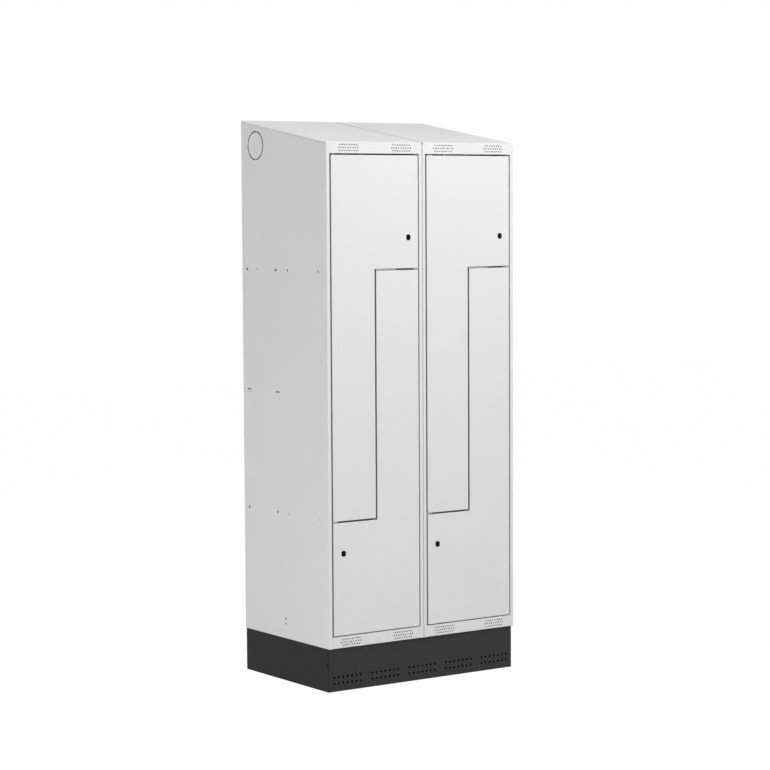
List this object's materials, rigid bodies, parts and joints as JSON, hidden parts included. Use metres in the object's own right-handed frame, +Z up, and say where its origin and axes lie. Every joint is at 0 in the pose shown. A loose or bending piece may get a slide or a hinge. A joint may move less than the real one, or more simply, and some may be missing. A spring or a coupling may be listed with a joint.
{
  "type": "z locker",
  "caption": "Sheet-steel Z locker in two joined modules with interlocking L-shaped doors, cam locks, a sloping roof and a perforated plinth.",
  "frame": {"origin": "middle of the footprint, on the floor", "axes": "+X to the right seen from the front, +Y towards the rear, +Z up; the doors face -Y"},
  "size_m": [0.7998, 0.55, 1.9763],
  "materials": {
    "left_side_panel_left": "light grey powder coat, satin",
    "left_side_panel_right": "light grey powder coat, satin",
    "left_roof_panel": "light grey powder coat, satin",
    "left_floor_panel": "light grey powder coat, satin",
    "left_back_panel": "light grey powder coat, satin",
    "left_top_rail": "light grey powder coat, satin",
    "left_bottom_rail": "light grey powder coat, satin",
    "left_divider": "light grey powder coat, satin",
    "left_upper_shelf": "light grey powder coat, satin",
    "left_lower_shelf": "light grey powder coat, satin",
    "left_upper_door_hinge_lug": "light grey powder coat, satin",
    "left_lower_door_hinge_lug": "light grey powder coat, satin",
    "left_upper_door_top_pin": "zinc plated",
    "left_upper_door_bottom_pin": "zinc plated",
    "left_lower_door_top_pin": "zinc plated",
    "left_lower_door_bottom_pin": "zinc plated",
    "left_upper_coat_hook": "zinc plated",
    "left_lower_coat_hook": "zinc plated",
    "right_side_panel_left": "light grey powder coat, satin",
    "right_side_panel_right": "light grey powder coat, satin",
    "right_roof_panel": "light grey powder coat, satin",
    "right_floor_panel": "light grey powder coat, satin",
    "right_back_panel": "light grey powder coat, satin",
    "right_top_rail": "light grey powder coat, satin",
    "right_bottom_rail": "light grey powder coat, satin",
    "right_divider": "light grey powder coat, satin",
    "right_upper_shelf": "light grey powder coat, satin",
    "right_lower_shelf": "light grey powder coat, satin",
    "right_upper_door_hinge_lug": "light grey powder coat, satin",
    "right_lower_door_hinge_lug": "light grey powder coat, satin",
    "right_upper_door_top_pin": "zinc plated",
    "right_upper_door_bottom_pin": "zinc plated",
    "right_lower_door_top_pin": "zinc plated",
    "right_lower_door_bottom_pin": "zinc plated",
    "right_upper_coat_hook": "zinc plated",
    "right_lower_coat_hook": "zinc plated",
    "plinth_front": "charcoal powder coat, matt",
    "plinth_rear": "charcoal powder coat, matt",
    "plinth_left": "charcoal powder coat, matt",
    "plinth_right": "charcoal powder coat, matt",
    "left_upper_door": "light grey powder coat, satin",
    "left_upper_lock_housing": "black, satin",
    "left_upper_lock_barrel": "black, satin",
    "left_upper_lock_cam": "zinc plated",
    "left_lower_door": "light grey powder coat, satin",
    "left_lower_lock_housing": "black, satin",
    "left_lower_lock_barrel": "black, satin",
    "left_lower_lock_cam": "zinc plated",
    "right_upper_door": "light grey powder coat, satin",
    "right_upper_lock_housing": "black, satin",
    "right_upper_lock_barrel": "black, satin",
    "right_upper_lock_cam": "zinc plated",
    "right_lower_door": "light grey powder coat, satin",
    "right_lower_lock_housing": "black, satin",
    "right_lower_lock_barrel": "black, satin",
    "right_lower_lock_cam": "zinc plated"
  },
  "bodies": {
    "cabinet": {"left_side_panel_left": "left_side_panel_left", "left_side_panel_right": "left_side_panel_right", "left_roof_panel": "left_roof_panel", "left_floor_panel": "left_floor_panel", "left_back_panel": "left_back_panel", "left_top_rail": "left_top_rail", "left_bottom_rail": "left_bottom_rail", "left_divider": "left_divider", "left_upper_shelf": "left_upper_shelf", "left_lower_shelf": "left_lower_shelf", "left_upper_door_hinge_lug": "left_upper_door_hinge_lug", "left_lower_door_hinge_lug": "left_lower_door_hinge_lug", "left_upper_door_top_pin": "left_upper_door_top_pin", "left_upper_door_bottom_pin": "left_upper_door_bottom_pin", "left_lower_door_top_pin": "left_lower_door_top_pin", "left_lower_door_bottom_pin": "left_lower_door_bottom_pin", "left_upper_coat_hook": "left_upper_coat_hook", "left_lower_coat_hook": "left_lower_coat_hook", "right_side_panel_left": "right_side_panel_left", "right_side_panel_right": "right_side_panel_right", "right_roof_panel": "right_roof_panel", "right_floor_panel": "right_floor_panel", "right_back_panel": "right_back_panel", "right_top_rail": "right_top_rail", "right_bottom_rail": "right_bottom_rail", "right_divider": "right_divider", "right_upper_shelf": "right_upper_shelf", "right_lower_shelf": "right_lower_shelf", "right_upper_door_hinge_lug": "right_upper_door_hinge_lug", "right_lower_door_hinge_lug": "right_lower_door_hinge_lug", "right_upper_door_top_pin": "right_upper_door_top_pin", "right_upper_door_bottom_pin": "right_upper_door_bottom_pin", "right_lower_door_top_pin": "right_lower_door_top_pin", "right_lower_door_bottom_pin": "right_lower_door_bottom_pin", "right_upper_coat_hook": "right_upper_coat_hook", "right_lower_coat_hook": "right_lower_coat_hook", "plinth_front": "plinth_front", "plinth_rear": "plinth_rear", "plinth_left": "plinth_left", "plinth_right": "plinth_right"},
    "left_upper_door": {"left_upper_door": "left_upper_door", "left_upper_lock_housing": "left_upper_lock_housing"},
    "left_upper_lock": {"left_upper_lock_barrel": "left_upper_lock_barrel", "left_upper_lock_cam": "left_upper_lock_cam"},
    "left_lower_door": {"left_lower_door": "left_lower_door", "left_lower_lock_housing": "left_lower_lock_housing"},
    "left_lower_lock": {"left_lower_lock_barrel": "left_lower_lock_barrel", "left_lower_lock_cam": "left_lower_lock_cam"},
    "right_upper_door": {"right_upper_door": "right_upper_door", "right_upper_lock_housing": "right_upper_lock_housing"},
    "right_upper_lock": {"right_upper_lock_barrel": "right_upper_lock_barrel", "right_upper_lock_cam": "right_upper_lock_cam"},
    "right_lower_door": {"right_lower_door": "right_lower_door", "right_lower_lock_housing": "right_lower_lock_housing"},
    "right_lower_lock": {"right_lower_lock_barrel": "right_lower_lock_barrel", "right_lower_lock_cam": "right_lower_lock_cam"}
  },
  "joints": [
    {"name": "left_upper_door_hinge", "type": "hinge", "parent": "cabinet", "child": "left_upper_door", "pos_m": [-0.3673, -0.2662, 1], "axis": [0, 0, -1], "range_deg": [0, 90]},
    {"name": "left_upper_lock_turn", "type": "hinge", "parent": "left_upper_door", "child": "left_upper_lock", "pos_m": [-0.0607, -0.265, 1.5618], "axis": [0, -1, 0], "range_deg": [0, 90]},
    {"name": "left_lower_door_hinge", "type": "hinge", "parent": "cabinet", "child": "left_lower_door", "pos_m": [-0.0327, -0.2662, 1], "axis": [0, 0, 1], "range_deg": [0, 90]},
    {"name": "left_lower_lock_turn", "type": "hinge", "parent": "left_lower_door", "child": "left_lower_lock", "pos_m": [-0.3393, -0.265, 0.4793], "axis": [0, 1, 0], "range_deg": [0, 90]},
    {"name": "right_upper_door_hinge", "type": "hinge", "parent": "cabinet", "child": "right_upper_door", "pos_m": [0.0327, -0.2662, 1], "axis": [0, 0, -1], "range_deg": [0, 90]},
    {"name": "right_upper_lock_turn", "type": "hinge", "parent": "right_upper_door", "child": "right_upper_lock", "pos_m": [0.3393, -0.265, 1.5618], "axis": [0, -1, 0], "range_deg": [0, 90]},
    {"name": "right_lower_door_hinge", "type": "hinge", "parent": "cabinet", "child": "right_lower_door", "pos_m": [0.3673, -0.2662, 1], "axis": [0, 0, 1], "range_deg": [0, 90]},
    {"name": "right_lower_lock_turn", "type": "hinge", "parent": "right_lower_door", "child": "right_lower_lock", "pos_m": [0.0607, -0.265, 0.4793], "axis": [0, 1, 0], "range_deg": [0, 90]}
  ]
}
